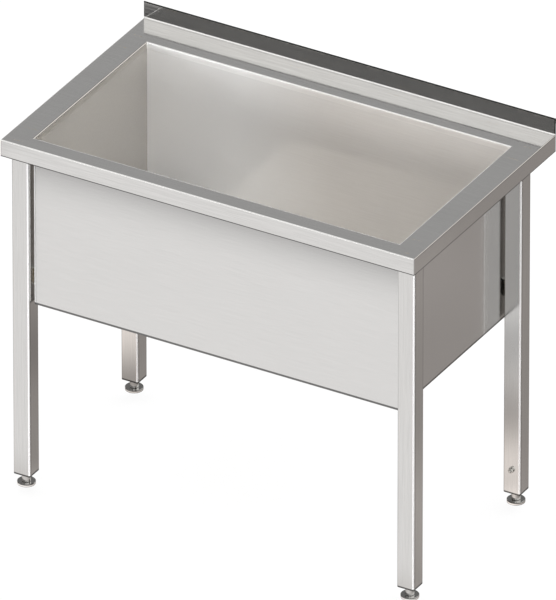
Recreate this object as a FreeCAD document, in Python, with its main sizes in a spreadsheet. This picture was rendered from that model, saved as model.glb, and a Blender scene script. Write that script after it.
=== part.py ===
import FreeCAD, Part
import math
import os
import re

import Sketcher
from FreeCAD import Rotation, Vector

# A free-standing stainless steel laundry sink: one deep welded bowl in a folded worktop with a rear
# upstand, on four square tube legs with levelling feet.
#
# All sizes are millimetres. Sub-parts are drawn from the worktop's front left corner: x to the right,
# y to the rear, z up from the floor. Each is then placed so that the origin lies on the floor, under
# the middle of the worktop.

SIZES = {
    # worktop
    "worktop_length": 1000.0,          # over the side aprons
    "worktop_depth": 600.0,            # from the front apron to the back of the upstand
    "worktop_height": 850.0,           # from the floor, feet screwed in
    "upstand_height": 40.0,            # above the worktop
    "apron_height": 40.0,              # front and side aprons, below the worktop's top face
    "apron_return": 12.0,              # inward lip at the lower edge of the aprons
    "top_sheet": 1.0,                  # thickness of the worktop's sheet
    "bend_radius": 2.2,                # outside of the apron bends, inside of the upstand's
    "return_radius": 1.4,              # outside of the return's bend
    "hem_height": 12.0,                # upper edge of the upstand, folded flat to the rear
    "hem_radius": 0.9,                 # rounding of the folded edge
    # rear apron, a channel under the rear edge
    "channel_height": 37.5,
    "channel_flange": 22.0,
    "channel_radius": 1.3,             # outside of its bends
    "channel_end_gap": 3.5,            # from its ends to the outside of the side aprons
    # bowl
    "bowl_front": 41.5,                # from the front apron to the inside of the front wall
    "bowl_rear": 90.5,                 # from the back of the upstand to the inside of the back wall
    "bowl_depth": 404.5,               # from the worktop's top face to the outside of the floor's edge
    "bowl_sheet": 1.0,                 # thickness of the walls and the floor
    "lip_depth": 15.0,                 # down-turned edge of the opening, to which the walls are welded
    "lip_radius": 3.0,                 # outside of that edge's bend
    "floor_fall": 6.0,                 # fall of the floor from its edge to the drain
    "floor_flange": 5.0,               # upturned edge of the floor, to which the walls are welded
    "floor_radius": 3.0,               # outside of the floor's edge bend
    "floor_margin": 12.0,              # level strip along the walls, before the slopes
    "drain_flat": 96.0,                # side of the level square around the drain
    "drain_radius": 26.0,              # hole in the floor
    # legs
    "leg_side": 40.0,
    "leg_wall": 1.2,
    "leg_radius": 2.5,                 # outside corners of the tube
    "leg_side_inset": 13.0,            # from the side aprons
    "leg_front_inset": 24.0,           # from the front apron
    "leg_rear_inset": 84.0,            # from the back of the upstand
    "leg_rise": 28.0,                  # lower end of the leg insert above the floor
    # sockets under the worktop
    "socket_plate": 2.0,               # thickness
    "socket_plate_width": 56.0,        # front to rear
    "socket_height": 60.0,             # spigot inside the leg
    "socket_wall": 2.5,
    "socket_clearance": 0.1,           # spigot to tube, each side
    "socket_radius": 1.5,              # outside corners of the spigot
    # leg screws
    "leg_screw_radius": 3.0,
    "leg_screw_drop": 35.0,            # axis below the top of the leg
    "leg_screw_length": 8.0,           # shank from the outside of the leg
    "leg_screw_head_radius": 5.25,
    "leg_screw_head": 3.0,
    "leg_screw_rounding": 2.1,         # rounding of the button head
    "screw_clearance": 0.05,           # radial, every screw in its thread
    "hole_clearance": 0.3,             # radial, every screw in a plain hole
    "drive_flats": 4.0,                # hexagon sockets of the leg screws, across the flats
    "drive_depth": 1.8,
    # spacers between the legs and the bowl
    "spacer_length": 5.0,              # from the leg to the bowl's side
    "spacer_width": 10.0,
    "spacer_height": 40.0,
    "spacer_setback": 24.0,            # from the leg's front face
    "spacer_rise": 40.0,               # above the lower edge of the bowl's walls
    # leg inserts and their nuts
    "insert_flange": 1.6,
    "insert_flange_inset": 0.2,        # flange inside the outline of the leg
    "insert_height": 34.0,
    "insert_clearance": 0.1,           # plug to tube, each side
    "insert_radius": 1.5,              # corners of the plug
    "nut_radius": 8.0,
    "nut_length": 30.0,
    "nut_seat": 0.05,                  # nut to plug, radial
    # levelling feet
    "foot_radius": 20.0,
    "foot_thickness": 6.5,
    "foot_chamfer": 0.8,
    "pad_radius": 17.0,
    "pad_thickness": 2.5,
    "pad_stand": 0.5,                  # pad below the foot's base
    "pad_clearance": 0.1,
    "stem_radius": 9.75,
    "stem_chamfer": 0.6,
    "stem_gap": 0.3,                   # stem to base, and stem to leg insert
    "journal_radius": 6.0,             # lower end of the stem, which turns in the base
    "journal_length": 3.0,
    "journal_clearance": 0.08,         # radial
    "journal_end_gap": 0.1,
    "stud_radius": 5.0,
    "stud_in_stem": 14.0,
    "stud_in_leg": 44.0,
    "stud_chamfer": 0.8,
    "thread_clearance": 0.06,          # radial, stud in the leg's nut
    # waste fitting: a steel ring in the bowl and a plastic body below it
    "waste_flange_radius": 35.0,
    "waste_flange": 2.0,
    "waste_flange_rim": 1.0,           # thickness left at the flange's outer edge
    "waste_mouth_radius": 25.0,
    "waste_neck_radius": 24.0,         # outside of the ring's neck, in the floor's hole
    "waste_neck": 4.5,                 # neck below the floor's upper face
    "waste_seat_radius": 22.0,         # recess that holds the strainer
    "waste_seat_depth": 3.0,           # strainer's ledge below the floor's upper face
    "waste_ledge_radius": 19.5,
    "collar_radius": 33.0,             # upper edge of the body, under the lower gasket
    "collar_thickness": 3.0,
    "cup_radius": 27.5,                # outside of the body between its collar and its tail
    "cup_depth": 6.0,                  # from the collar to the step in the bore
    "cup_floor_wall": 3.5,
    "neck_clearance": 0.3,             # ring's neck to the body's cup
    "waste_tail_radius": 23.9,         # 1 1/2 inch pipe thread, outside
    "waste_tail": 60.0,                # end of the tail below the floor's upper face
    "waste_bore_radius": 20.4,
    "gasket": 1.5,                     # upper gasket
    "lower_gasket": 2.5,
    "gasket_radius": 33.0,
    "gasket_clearance": 0.2,           # to the ring's neck
    "bridge_width": 8.0,               # bar across the body's bore, for the strainer's screw
    "bridge_height": 5.0,
    "strainer_sheet": 1.5,
    "strainer_clearance": 0.1,
    "strainer_hole_radius": 2.2,
    "strainer_ring_inner": 9.0,        # pitch radii of the two rings of holes
    "strainer_ring_outer": 16.0,
    "strainer_screw_radius": 2.5,
    "strainer_screw_head": 2.2,
    "strainer_screw_head_radius": 4.6,
    "strainer_screw_rim": 0.7,         # upright edge of the head
    "strainer_screw_crown": 2.3,       # radius of the flat on top of the head
    "strainer_screw_tip": 2.0,         # shank below the bridge
    # bonding stud on the rear right leg
    "bond_rise": 59.0,                 # above the lower end of the leg insert
    "bond_radius": 3.0,
    "bond_proud": 10.5,                # end of the stud from the leg's face
    "bond_inside": 13.0,               # stud behind the leg's face
    "screw_chamfer": 0.6,
    "rivet_nut_radius": 4.5,
    "rivet_nut_flange_radius": 6.5,
    "rivet_nut_flange": 1.0,
    "rivet_nut_length": 12.0,
    "washer_radius": 6.2,
    "washer": 1.2,
    "bond_nut_flats": 10.0,
    "bond_nut": 5.0,
}

# Sizes that follow from the ones above.
LINKED = {
    "rear_face": "worktop_depth - top_sheet",
    "underside": "worktop_height - top_sheet",
    "apron_foot": "worktop_height - apron_height",
    "bowl_left": "leg_side_inset + leg_side + spacer_length + bowl_sheet",
    "bowl_right": "worktop_length - bowl_left",
    "bowl_back": "worktop_depth - bowl_rear",
    "bowl_length": "bowl_right - bowl_left",
    "bowl_width": "bowl_back - bowl_front",
    "bowl_middle": "(bowl_front + bowl_back) / 2",
    "bowl_foot": "worktop_height - bowl_depth",
    "lip_foot": "worktop_height - lip_depth",
    "wall_foot": "bowl_foot + floor_flange",
    "drain_level": "bowl_foot - floor_fall + bowl_sheet",
    "leg_left": "leg_side_inset + leg_side / 2",
    "leg_right": "worktop_length - leg_side_inset - leg_side / 2",
    "leg_front": "leg_front_inset + leg_side / 2",
    "leg_rear": "worktop_depth - leg_rear_inset - leg_side / 2",
    "leg_foot": "leg_rise + insert_flange",
    "leg_head": "underside - socket_plate",
    "leg_bore": "leg_side - 2 * leg_wall",
    "spigot": "leg_bore - 2 * socket_clearance",
    "plug": "leg_bore - 2 * insert_clearance",
    "socket_plate_length": "leg_side + 2 * (spacer_length + bowl_sheet - lip_radius)",
    "journal_foot": "foot_thickness - journal_length",
    "stem_head": "leg_rise - stem_gap",
    "ledge": "drain_level - waste_seat_depth",
    "collar_head": "drain_level - bowl_sheet - lower_gasket",
    "cup_floor": "collar_head - cup_depth",
    "bond_height": "leg_rise + bond_rise",
    "leg_screw_height": "leg_head - leg_screw_drop",
}

STRAINER_HOLES = {"inner": 6, "outer": 12}
CORNERS = {
    "front_left": ("leg_left", "leg_front"),
    "front_right": ("leg_right", "leg_front"),
    "rear_left": ("leg_left", "leg_rear"),
    "rear_right": ("leg_right", "leg_rear"),
}

doc = FreeCAD.newDocument("laundry_sink")
sheet = doc.addObject("Spreadsheet::Sheet", "Sizes")
for row, (name, value) in enumerate(SIZES.items(), start=1):
    sheet.set(f"A{row}", name)
    sheet.set(f"B{row}", str(value))
    sheet.setAlias(f"B{row}", name)
doc.recompute()


def formula(text):
    """The expression in the sheet's own names, with every linked size written out."""
    def spell_out(match):
        word = match.group(0)
        if word in LINKED:
            return "(" + formula(LINKED[word]) + ")"
        return "Sizes." + word if word in SIZES else word
    return re.sub(r"[a-z][a-z_]*", spell_out, text)


def size(text):
    """The expression's value in millimetres."""
    return float(sheet.evalExpression(formula(text)))


def bind(thing, prop, text):
    thing.setExpression(prop, formula(text))


# ---- sketches --------------------------------------------------------------------------------------

def new_body(label):
    body = doc.addObject("PartDesign::Body", label)
    body.Label = label
    return body


def new_sketch(body, plane, name, offset="0"):
    """Sketch on one of the body's own planes, moved along the plane's normal."""
    sketch = body.newObject("Sketcher::SketchObject", f"{body.Label}_{name}")
    origin = [part for part in body.Origin.OriginFeatures if part.Role == plane]
    sketch.AttachmentSupport = [(origin[0], "")]
    sketch.MapMode = "FlatFace"
    bind(sketch, "AttachmentOffset.Base.z", offset)
    return sketch


def hold(sketch, kind, geometry, point, text):
    """Distance of one point from the sketch's origin, tied to the sheet."""
    number = sketch.addConstraint(Sketcher.Constraint(kind, -1, 1, geometry, point, size(text)))
    sketch.setExpression(f"Constraints[{number}]", formula(text))


def outline(sketch, points):
    """Closed polygon through the points."""
    start = sketch.GeometryCount
    corners = [Vector(size(x), size(y), 0) for x, y in points]
    count = len(corners)
    for here, there in zip(corners, corners[1:] + corners[:1]):
        sketch.addGeometry(Part.LineSegment(here, there))
    for index in range(count):
        following = start + (index + 1) % count
        sketch.addConstraint(Sketcher.Constraint("Coincident", start + index, 2, following, 1))
    for index, (x, y) in enumerate(points, start=start):
        hold(sketch, "DistanceX", index, 1, x)
        hold(sketch, "DistanceY", index, 1, y)
    return sketch


def rectangle(sketch, left, right, near, far):
    return outline(sketch, [(left, near), (right, near), (right, far), (left, far)])


def centred_square(sketch, side):
    half = f"({side}) / 2"
    return rectangle(sketch, f"-{half}", half, f"-{half}", half)


def circle(sketch, x, y, radius):
    centre = Vector(size(x), size(y), 0)
    index = sketch.addGeometry(Part.Circle(centre, Vector(0, 0, 1), size(radius)))
    hold(sketch, "DistanceX", index, 3, x)
    hold(sketch, "DistanceY", index, 3, y)
    number = sketch.addConstraint(Sketcher.Constraint("Radius", index, size(radius)))
    sketch.setExpression(f"Constraints[{number}]", formula(radius))
    return sketch


def cove(sketch, x, y, radius):
    """Filling of an inside corner, with a hollow quarter round; the corner is at (x, y)."""
    corner = Vector(size(x), size(y), 0)
    reach = size(radius)
    before = corner - Vector(reach, 0, 0)
    above = corner + Vector(0, reach, 0)
    round_edge = Part.Circle(before + Vector(0, reach, 0), Vector(0, 0, 1), reach)
    sketch.addGeometry(Part.LineSegment(before, corner))
    sketch.addGeometry(Part.LineSegment(corner, above))
    sketch.addGeometry(Part.ArcOfCircle(round_edge, 1.5 * math.pi, 2 * math.pi))
    sketch.addConstraint(Sketcher.Constraint("Coincident", 0, 2, 1, 1))
    sketch.addConstraint(Sketcher.Constraint("Coincident", 1, 2, 2, 2))
    sketch.addConstraint(Sketcher.Constraint("Coincident", 2, 1, 0, 1))
    hold(sketch, "DistanceX", 0, 1, f"{x} - {radius}")
    hold(sketch, "DistanceY", 0, 1, y)
    hold(sketch, "DistanceX", 0, 2, x)
    hold(sketch, "DistanceY", 0, 2, y)
    hold(sketch, "DistanceX", 1, 2, x)
    hold(sketch, "DistanceY", 1, 2, f"{y} + {radius}")
    hold(sketch, "DistanceX", 2, 3, f"{x} - {radius}")
    return sketch


def hexagon(sketch, flats):
    """Regular hexagon about the sketch's origin, two of its corners on the first axis."""
    corner = f"({flats}) / 2 / cos(30 deg)"
    flat = f"({flats}) / 2"
    return outline(sketch, [
        (corner, "0"), (f"{corner} / 2", flat), (f"-{corner} / 2", flat),
        (f"-{corner}", "0"), (f"-{corner} / 2", f"-{flat}"), (f"{corner} / 2", f"-{flat}"),
    ])


# ---- features --------------------------------------------------------------------------------------

def feature(body, kind, name, profile):
    made = body.newObject(f"PartDesign::{kind}", f"{body.Label}_{name}")
    made.Profile = profile
    profile.Visibility = False
    return made


def settle(made):
    """Work the feature out, and stop if it fails."""
    doc.recompute()
    sound = made.isValid() and not made.Shape.isNull() and made.Shape.isValid()
    assert sound, f"{made.Label}: {made.getStatusString()}"
    return made


def pad(body, name, sketch, length):
    made = feature(body, "Pad", name, sketch)
    bind(made, "Length", length)
    return settle(made)


def pocket(body, name, sketch, depth, along=False):
    """Cut against the sketch's normal, or along it. It has to take something away."""
    before = body.Shape.Volume
    made = feature(body, "Pocket", name, sketch)
    made.Reversed = along
    bind(made, "Length", depth)
    settle(made)
    assert body.Shape.Volume < before, f"{body.Label}: {name} cuts nothing"
    return made


def revolve(body, name, points):
    """Solid of revolution about z; the points are radius and height."""
    sketch = outline(new_sketch(body, "XZ_Plane", f"{name}_section"), points)
    made = feature(body, "Revolution", name, sketch)
    made.ReferenceAxis = (sketch, ["V_Axis"])
    made.Angle = 360
    return settle(made)


def edges(body, test):
    """Names of the body's edges for which the test of the edge's box is true."""
    found = enumerate(body.Shape.Edges, start=1)
    return [f"Edge{number}" for number, edge in found if test(edge.BoundBox)]


def dress(body, kind, name, names, amount):
    """Fillet or chamfer on the named edges."""
    assert names, f"{body.Label}: {name} finds no edge"
    made = body.newObject(f"PartDesign::{kind}", f"{body.Label}_{name}")
    made.Base = (made.BaseFeature, names)
    bind(made, "Radius" if kind == "Fillet" else "Size", amount)
    return settle(made)


def near(one, other):
    return abs(one - other) < 0.01


def level(box, height):
    """The edge lies level at this height."""
    return near(box.ZMin, height) and near(box.ZMax, height)


def upright(box):
    return box.ZLength > 1 and box.XLength < 0.01 and box.YLength < 0.01


def at_corner(body, x="0", y="0", z="0"):
    """Place a body drawn in its own frame, or from the worktop's front left corner."""
    bind(body, "Placement.Base.x", f"{x} - worktop_length / 2")
    bind(body, "Placement.Base.y", f"{y} - worktop_depth / 2")
    bind(body, "Placement.Base.z", z)
    return body


def axis(body, role):
    found = [part for part in body.Origin.OriginFeatures if part.Role == role]
    return (found[0], [""])


def ring(body, name, count):
    """Repeat the last cut around the body's z axis."""
    original = body.Tip
    made = body.newObject("PartDesign::PolarPattern", f"{body.Label}_{name}")
    made.Originals = [original]
    made.Axis = axis(body, "Z_Axis")
    made.Angle = 360
    made.Occurrences = count
    body.Tip = made
    return settle(made)


def at_all_legs(body, across="leg_right - leg_left"):
    """Repeat the front left leg's solid at the other three legs, as separate solids of one body."""
    made = body.newObject("PartDesign::LinearPattern", f"{body.Label}_copies")
    made.TransformMode = "Whole shape"
    made.Direction = axis(body, "X_Axis")
    made.Direction2 = axis(body, "Y_Axis")
    made.Occurrences = 2
    made.Occurrences2 = 2
    bind(made, "Length", across)
    bind(made, "Length2", "leg_rear - leg_front")
    body.AllowCompound = True
    body.Tip = made
    return settle(made)


PARTS = []


def keep(body):
    PARTS.append(body)
    return body


# ---- worktop ---------------------------------------------------------------------------------------

def worktop():
    """One folded sheet: aprons at the front and sides, upstand at the rear, opening with a lip."""
    body = new_body("worktop")
    top = size("worktop_height")
    length = size("worktop_length")
    inner = size("top_sheet")

    plan = new_sketch(body, "XY_Plane", "plan", "apron_foot")
    rectangle(plan, "0", "worktop_length", "0", "rear_face")
    pad(body, "block", plan, "apron_height")

    hollow = new_sketch(body, "XY_Plane", "hollow_plan", "apron_foot")
    rectangle(hollow, "top_sheet", "worktop_length - top_sheet", "top_sheet", "worktop_depth")
    pocket(body, "hollow", hollow, "apron_height - top_sheet", along=True)

    def inner_bend(box):
        on_side = near(box.XMax, inner) or near(box.XMin, length - inner)
        on_front = near(box.YMax, inner)
        return ((level(box, top - inner) and (on_side or on_front))
                or (upright(box) and on_side and on_front))
    dress(body, "Fillet", "inner_bends", edges(body, inner_bend), "bend_radius - top_sheet")

    def outer_bend(box):
        on_side = near(box.XMax, 0) or near(box.XMin, length)
        on_front = near(box.YMax, 0)
        return (level(box, top) and (on_side or on_front)) or (upright(box) and on_side and on_front)
    dress(body, "Fillet", "outer_bends", edges(body, outer_bend), "bend_radius")

    returns = new_sketch(body, "XY_Plane", "returns_plan", "apron_foot")
    outline(returns, [
        ("top_sheet", "rear_face"), ("top_sheet", "top_sheet"),
        ("worktop_length - top_sheet", "top_sheet"), ("worktop_length - top_sheet", "rear_face"),
        ("worktop_length - apron_return", "rear_face"),
        ("worktop_length - apron_return", "apron_return"),
        ("apron_return", "apron_return"), ("apron_return", "rear_face"),
    ])
    pad(body, "returns", returns, "top_sheet")

    def return_bend(box):
        reach = size("bend_radius") + 0.01
        outside = box.XMax < reach or box.XMin > length - reach or box.YMax < reach
        return level(box, size("apron_foot")) and outside
    dress(body, "Fillet", "return_bends", edges(body, return_bend), "return_radius")

    upstand = new_sketch(body, "YZ_Plane", "upstand_section")
    outline(upstand, [
        ("rear_face - top_sheet", "underside"), ("rear_face", "underside"),
        ("rear_face", "worktop_height + upstand_height - hem_height"),
        ("worktop_depth", "worktop_height + upstand_height - hem_height"),
        ("worktop_depth", "worktop_height + upstand_height"),
        ("rear_face - top_sheet", "worktop_height + upstand_height"),
    ])
    pad(body, "upstand", upstand, "worktop_length")

    bend = new_sketch(body, "YZ_Plane", "upstand_bend_section", "bend_radius")
    cove(bend, "rear_face - top_sheet", "worktop_height", "bend_radius")
    pad(body, "upstand_bend", bend, "worktop_length - 2 * bend_radius")

    def hem_edge(box):
        return level(box, top + size("upstand_height")) and box.YLength < 0.01
    dress(body, "Fillet", "hem_rounding", edges(body, hem_edge), "hem_radius")

    lip = new_sketch(body, "XY_Plane", "lip_plan", "lip_foot")
    rectangle(lip, "bowl_left - top_sheet", "bowl_right + top_sheet",
              "bowl_front - top_sheet", "bowl_back + top_sheet")
    pad(body, "lip", lip, "lip_depth - top_sheet / 2")

    def lip_inner_bend(box):
        within = box.XMin > size("bowl_left - top_sheet") - 1 and box.XMax < size("bowl_right") + 2
        behind = box.YMin > size("bowl_front - top_sheet") - 1 and box.YMax < size("bowl_back") + 2
        return level(box, top - inner) and within and behind
    dress(body, "Fillet", "lip_inner_bend", edges(body, lip_inner_bend), "lip_radius - top_sheet")

    opening = new_sketch(body, "XY_Plane", "opening_plan", "worktop_height")
    rectangle(opening, "bowl_left", "bowl_right", "bowl_front", "bowl_back")
    pocket(body, "opening", opening, "lip_depth")

    def lip_bend(box):
        within = box.XMin > size("bowl_left") - 1 and box.XMax < size("bowl_right") + 1
        behind = box.YMin > size("bowl_front") - 1 and box.YMax < size("bowl_back") + 1
        return level(box, top) and within and behind
    dress(body, "Fillet", "lip_bend", edges(body, lip_bend), "lip_radius")
    return at_corner(body)


def rear_apron():
    """Channel welded under the rear edge: top flange, web and bottom return."""
    body = new_body("rear_apron")
    section = new_sketch(body, "YZ_Plane", "section", "channel_end_gap")
    foot = "underside - channel_height"
    outline(section, [
        ("rear_face - channel_flange", "underside"), ("rear_face", "underside"),
        ("rear_face", foot), ("rear_face - apron_return", foot),
        ("rear_face - apron_return", f"{foot} + top_sheet"),
        ("rear_face - top_sheet", f"{foot} + top_sheet"),
        ("rear_face - top_sheet", "underside - top_sheet"),
        ("rear_face - channel_flange", "underside - top_sheet"),
    ])
    pad(body, "channel", section, "worktop_length - 2 * channel_end_gap")

    def outer_bend(box):
        return near(box.YMin, size("rear_face")) and box.XLength > 1
    dress(body, "Fillet", "bends", edges(body, outer_bend), "channel_radius")
    return at_corner(body)


# ---- bowl ------------------------------------------------------------------------------------------

def bowl_wall(label, left, right, front, back):
    """One flat side of the bowl, between the worktop's lip and the floor's upturned edge."""
    body = new_body(label)
    plan = new_sketch(body, "XY_Plane", "plan", "wall_foot")
    rectangle(plan, left, right, front, back)
    pad(body, "sheet", plan, "lip_foot - wall_foot")
    return at_corner(body)


def bowl_walls():
    over = ("bowl_left - bowl_sheet", "bowl_right + bowl_sheet")
    keep(bowl_wall("bowl_front_wall", *over, "bowl_front - bowl_sheet", "bowl_front"))
    keep(bowl_wall("bowl_back_wall", *over, "bowl_back", "bowl_back + bowl_sheet"))
    keep(bowl_wall("bowl_left_wall", "bowl_left - bowl_sheet", "bowl_left", "bowl_front", "bowl_back"))
    keep(bowl_wall("bowl_right_wall", "bowl_right", "bowl_right + bowl_sheet", "bowl_front", "bowl_back"))


def bowl_floor():
    """Pressed floor: upturned edge, level margin, four slopes down to a level square, drain hole.

    Drawn about the bowl's middle, with the underside of its margin at height 0.
    """
    body = new_body("bowl_floor")
    half_length = "bowl_length / 2"
    half_width = "bowl_width / 2"
    plan = new_sketch(body, "XY_Plane", "plan")
    rectangle(plan, f"-({half_length} + bowl_sheet)", f"{half_length} + bowl_sheet",
              f"-({half_width} + bowl_sheet)", f"{half_width} + bowl_sheet")
    pad(body, "edge", plan, "floor_flange")
    hollow = new_sketch(body, "XY_Plane", "hollow_plan", "floor_flange")
    rectangle(hollow, f"-{half_length}", half_length, f"-{half_width}", half_width)
    pocket(body, "hollow", hollow, "floor_flange - bowl_sheet")

    def bend_at(height):
        names = edges(body, lambda box: level(box, height) and max(box.XLength, box.YLength) > 1)
        return [name for name in names if body.Shape.getElement(name).Length > size("drain_flat")]
    dress(body, "Fillet", "inner_bend", bend_at(size("bowl_sheet")), "floor_radius - bowl_sheet")
    dress(body, "Fillet", "outer_bend", bend_at(0), "floor_radius")

    def slopes(kind, name, rise):
        upper = new_sketch(body, "XY_Plane", f"{name}_margin", rise)
        rectangle(upper, f"-({half_length} - floor_margin)", f"{half_length} - floor_margin",
                  f"-({half_width} - floor_margin)", f"{half_width} - floor_margin")
        lower = new_sketch(body, "XY_Plane", f"{name}_drain", f"{rise} - floor_fall")
        centred_square(lower, "drain_flat")
        made = feature(body, kind, name, upper)
        made.Sections = [lower]
        made.Ruled = True
        return settle(made)
    slopes("AdditiveLoft", "underside", "0")
    slopes("SubtractiveLoft", "upper_face", "bowl_sheet")

    drain = new_sketch(body, "XY_Plane", "drain_plan", "bowl_sheet")
    circle(drain, "0", "0", "drain_radius")
    pocket(body, "drain", drain, "floor_fall + 2 * bowl_sheet")
    return at_corner(body, "worktop_length / 2", "bowl_middle", "bowl_foot")


# ---- legs ------------------------------------------------------------------------------------------

def square_bar(body, name, side, radius, start, length):
    """Upright square bar with rounded corners."""
    plan = centred_square(new_sketch(body, "XY_Plane", f"{name}_plan", start), side)
    pad(body, name, plan, length)
    reach = size(side) / 2

    def corner(box):
        return upright(box) and near(abs(box.XMin), reach) and near(abs(box.YMin), reach)
    dress(body, "Fillet", f"{name}_corners", edges(body, corner), radius)


def square_hole(body, name, side, radius, start, depth):
    """Square hole with rounded corners, cut down from the start height."""
    plan = centred_square(new_sketch(body, "XY_Plane", f"{name}_plan", start), side)
    pocket(body, name, plan, depth)
    reach = size(side) / 2

    def corner(box):
        return upright(box) and near(abs(box.XMin), reach) and near(abs(box.YMin), reach)
    dress(body, "Fillet", f"{name}_corners", edges(body, corner), radius)


def leg(place):
    """Square tube with a hole for its screw in the rear face."""
    body = new_body(f"leg_{place}")
    length = "leg_head - leg_foot"
    square_bar(body, "tube", "leg_side", "leg_radius", "0", length)
    square_hole(body, "bore", "leg_bore", "leg_radius - leg_wall", length, length)
    screw_hole = new_sketch(body, "XZ_Plane", "screw_hole_plan", "-leg_side / 2")
    circle(screw_hole, "0", f"{length} - leg_screw_drop", "leg_screw_radius + hole_clearance")
    pocket(body, "screw_hole", screw_hole, "2 * leg_wall", along=True)
    if place == "rear_right":
        rivet_hole = new_sketch(body, "XZ_Plane", "rivet_hole_plan", "leg_side / 2")
        circle(rivet_hole, "0", "bond_height - leg_foot", "rivet_nut_radius + screw_clearance")
        pocket(body, "rivet_hole", rivet_hole, "2 * leg_wall")
    return at_corner(body, *CORNERS[place], "leg_foot")


def leg_socket(place):
    """Plate welded under the worktop, with the square spigot that the leg slides over."""
    body = new_body(f"leg_socket_{place}")
    plate = new_sketch(body, "XY_Plane", "plate_plan", "-socket_plate")
    rectangle(plate, "-socket_plate_length / 2", "socket_plate_length / 2",
              "-socket_plate_width / 2", "socket_plate_width / 2")
    pad(body, "plate", plate, "socket_plate")
    square_bar(body, "spigot", "spigot", "socket_radius", "-socket_plate - socket_height",
               "socket_height")
    square_hole(body, "spigot_bore", "spigot - 2 * socket_wall", "socket_radius",
                "-socket_plate", "socket_height")
    thread = new_sketch(body, "XZ_Plane", "thread_plan", "-leg_side / 2")
    circle(thread, "0", "-socket_plate - leg_screw_drop", "leg_screw_radius + screw_clearance")
    pocket(body, "thread", thread, "leg_side / 2 - spigot / 2 + socket_wall + leg_wall", along=True)
    return at_corner(body, *CORNERS[place], "underside")


def leg_screws():
    """Button-head screws in the rear faces of the legs."""
    body = new_body("leg_screws")
    shank = new_sketch(body, "XZ_Plane", "shank_plan", "-leg_side / 2")
    circle(shank, "0", "0", "leg_screw_radius")
    pad(body, "shank", shank, "leg_screw_length")
    head = new_sketch(body, "XZ_Plane", "head_plan", "-leg_side / 2 - leg_screw_head")
    circle(head, "0", "0", "leg_screw_head_radius")
    pad(body, "head", head, "leg_screw_head")
    rim = size("leg_side / 2 + leg_screw_head")
    dress(body, "Fillet", "head_rounding", edges(body, lambda box: near(box.YMin, rim)),
          "leg_screw_rounding")
    drive = new_sketch(body, "XZ_Plane", "drive_plan", "-leg_side / 2 - leg_screw_head")
    hexagon(drive, "drive_flats")
    pocket(body, "drive", drive, "drive_depth", along=True)
    at_all_legs(body)
    return at_corner(body, *CORNERS["front_left"], "leg_screw_height")


def leg_spacers():
    """Strips between the legs and the bowl's sides, welded to both."""
    body = new_body("leg_spacers")
    plan = new_sketch(body, "XY_Plane", "plan")
    rectangle(plan, "0", "spacer_length", "0", "spacer_width")
    pad(body, "strip", plan, "spacer_height")
    at_all_legs(body, "worktop_length - 2 * leg_side_inset - 2 * leg_side - spacer_length")
    return at_corner(body, "leg_side_inset + leg_side", "leg_front_inset + spacer_setback",
                     "wall_foot + spacer_rise")


def leg_insert(place):
    """Plastic plug in the lower end of the leg, with a flange under the tube."""
    body = new_body(f"leg_insert_{place}")
    square_bar(body, "flange", "leg_side - 2 * insert_flange_inset", "leg_radius", "0",
               "insert_flange")
    square_bar(body, "plug", "plug", "insert_radius", "insert_flange", "insert_height")
    bore = new_sketch(body, "XY_Plane", "bore_plan", "insert_flange + insert_height")
    circle(bore, "0", "0", "nut_radius + nut_seat")
    pocket(body, "bore", bore, "insert_flange + insert_height")
    return at_corner(body, *CORNERS[place], "leg_rise")


def insert_nut(place):
    """Steel sleeve with the thread for the foot's stud, held in the leg insert."""
    body = new_body(f"insert_nut_{place}")
    revolve(body, "sleeve", [
        ("stud_radius + thread_clearance", "0"), ("nut_radius", "0"),
        ("nut_radius", "nut_length"), ("stud_radius + thread_clearance", "nut_length"),
    ])
    return at_corner(body, *CORNERS[place], "leg_rise")


# ---- levelling feet --------------------------------------------------------------------------------

def foot_base(place):
    """Round base of the foot, recessed below for the pad and bored above for the stem."""
    body = new_body(f"foot_base_{place}")
    bore = "journal_radius + journal_clearance"
    bore_foot = "journal_foot - journal_end_gap"
    recess = "pad_radius + pad_clearance"
    revolve(body, "disc", [
        ("0", "pad_thickness"), (recess, "pad_thickness"), (recess, "pad_stand"),
        ("foot_radius", "pad_stand"), ("foot_radius", "foot_thickness - foot_chamfer"),
        ("foot_radius - foot_chamfer", "foot_thickness"), (bore, "foot_thickness"),
        (bore, bore_foot), ("0", bore_foot),
    ])
    return at_corner(body, *CORNERS[place])


def foot_pad(place):
    """Rubber disc that stands on the floor."""
    body = new_body(f"foot_pad_{place}")
    revolve(body, "disc", [
        ("0", "0"), ("pad_radius", "0"), ("pad_radius", "pad_thickness"), ("0", "pad_thickness"),
    ])
    return at_corner(body, *CORNERS[place])


def foot_stem(place):
    """Round stem that is turned by hand; its journal turns in the base."""
    body = new_body(f"foot_stem_{place}")
    shoulder = "foot_thickness + stem_gap"
    bore = "stud_radius + nut_seat"
    revolve(body, "turning", [
        ("0", "journal_foot"), ("journal_radius", "journal_foot"), ("journal_radius", shoulder),
        ("stem_radius - stem_chamfer", shoulder), ("stem_radius", f"{shoulder} + stem_chamfer"),
        ("stem_radius", "stem_head - stem_chamfer"), ("stem_radius - stem_chamfer", "stem_head"),
        (bore, "stem_head"), (bore, "stem_head - stud_in_stem"), ("0", "stem_head - stud_in_stem"),
    ])
    return at_corner(body, *CORNERS[place])


def foot_stud(place):
    """Threaded stud, fixed in the stem and screwed into the leg's nut."""
    body = new_body(f"foot_stud_{place}")
    head = "stem_head + stud_in_leg"
    revolve(body, "rod", [
        ("0", "stem_head - stud_in_stem"), ("stud_radius", "stem_head - stud_in_stem"),
        ("stud_radius", f"{head} - stud_chamfer"), ("stud_radius - stud_chamfer", head), ("0", head),
    ])
    return at_corner(body, *CORNERS[place])


# ---- waste fitting ---------------------------------------------------------------------------------

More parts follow.
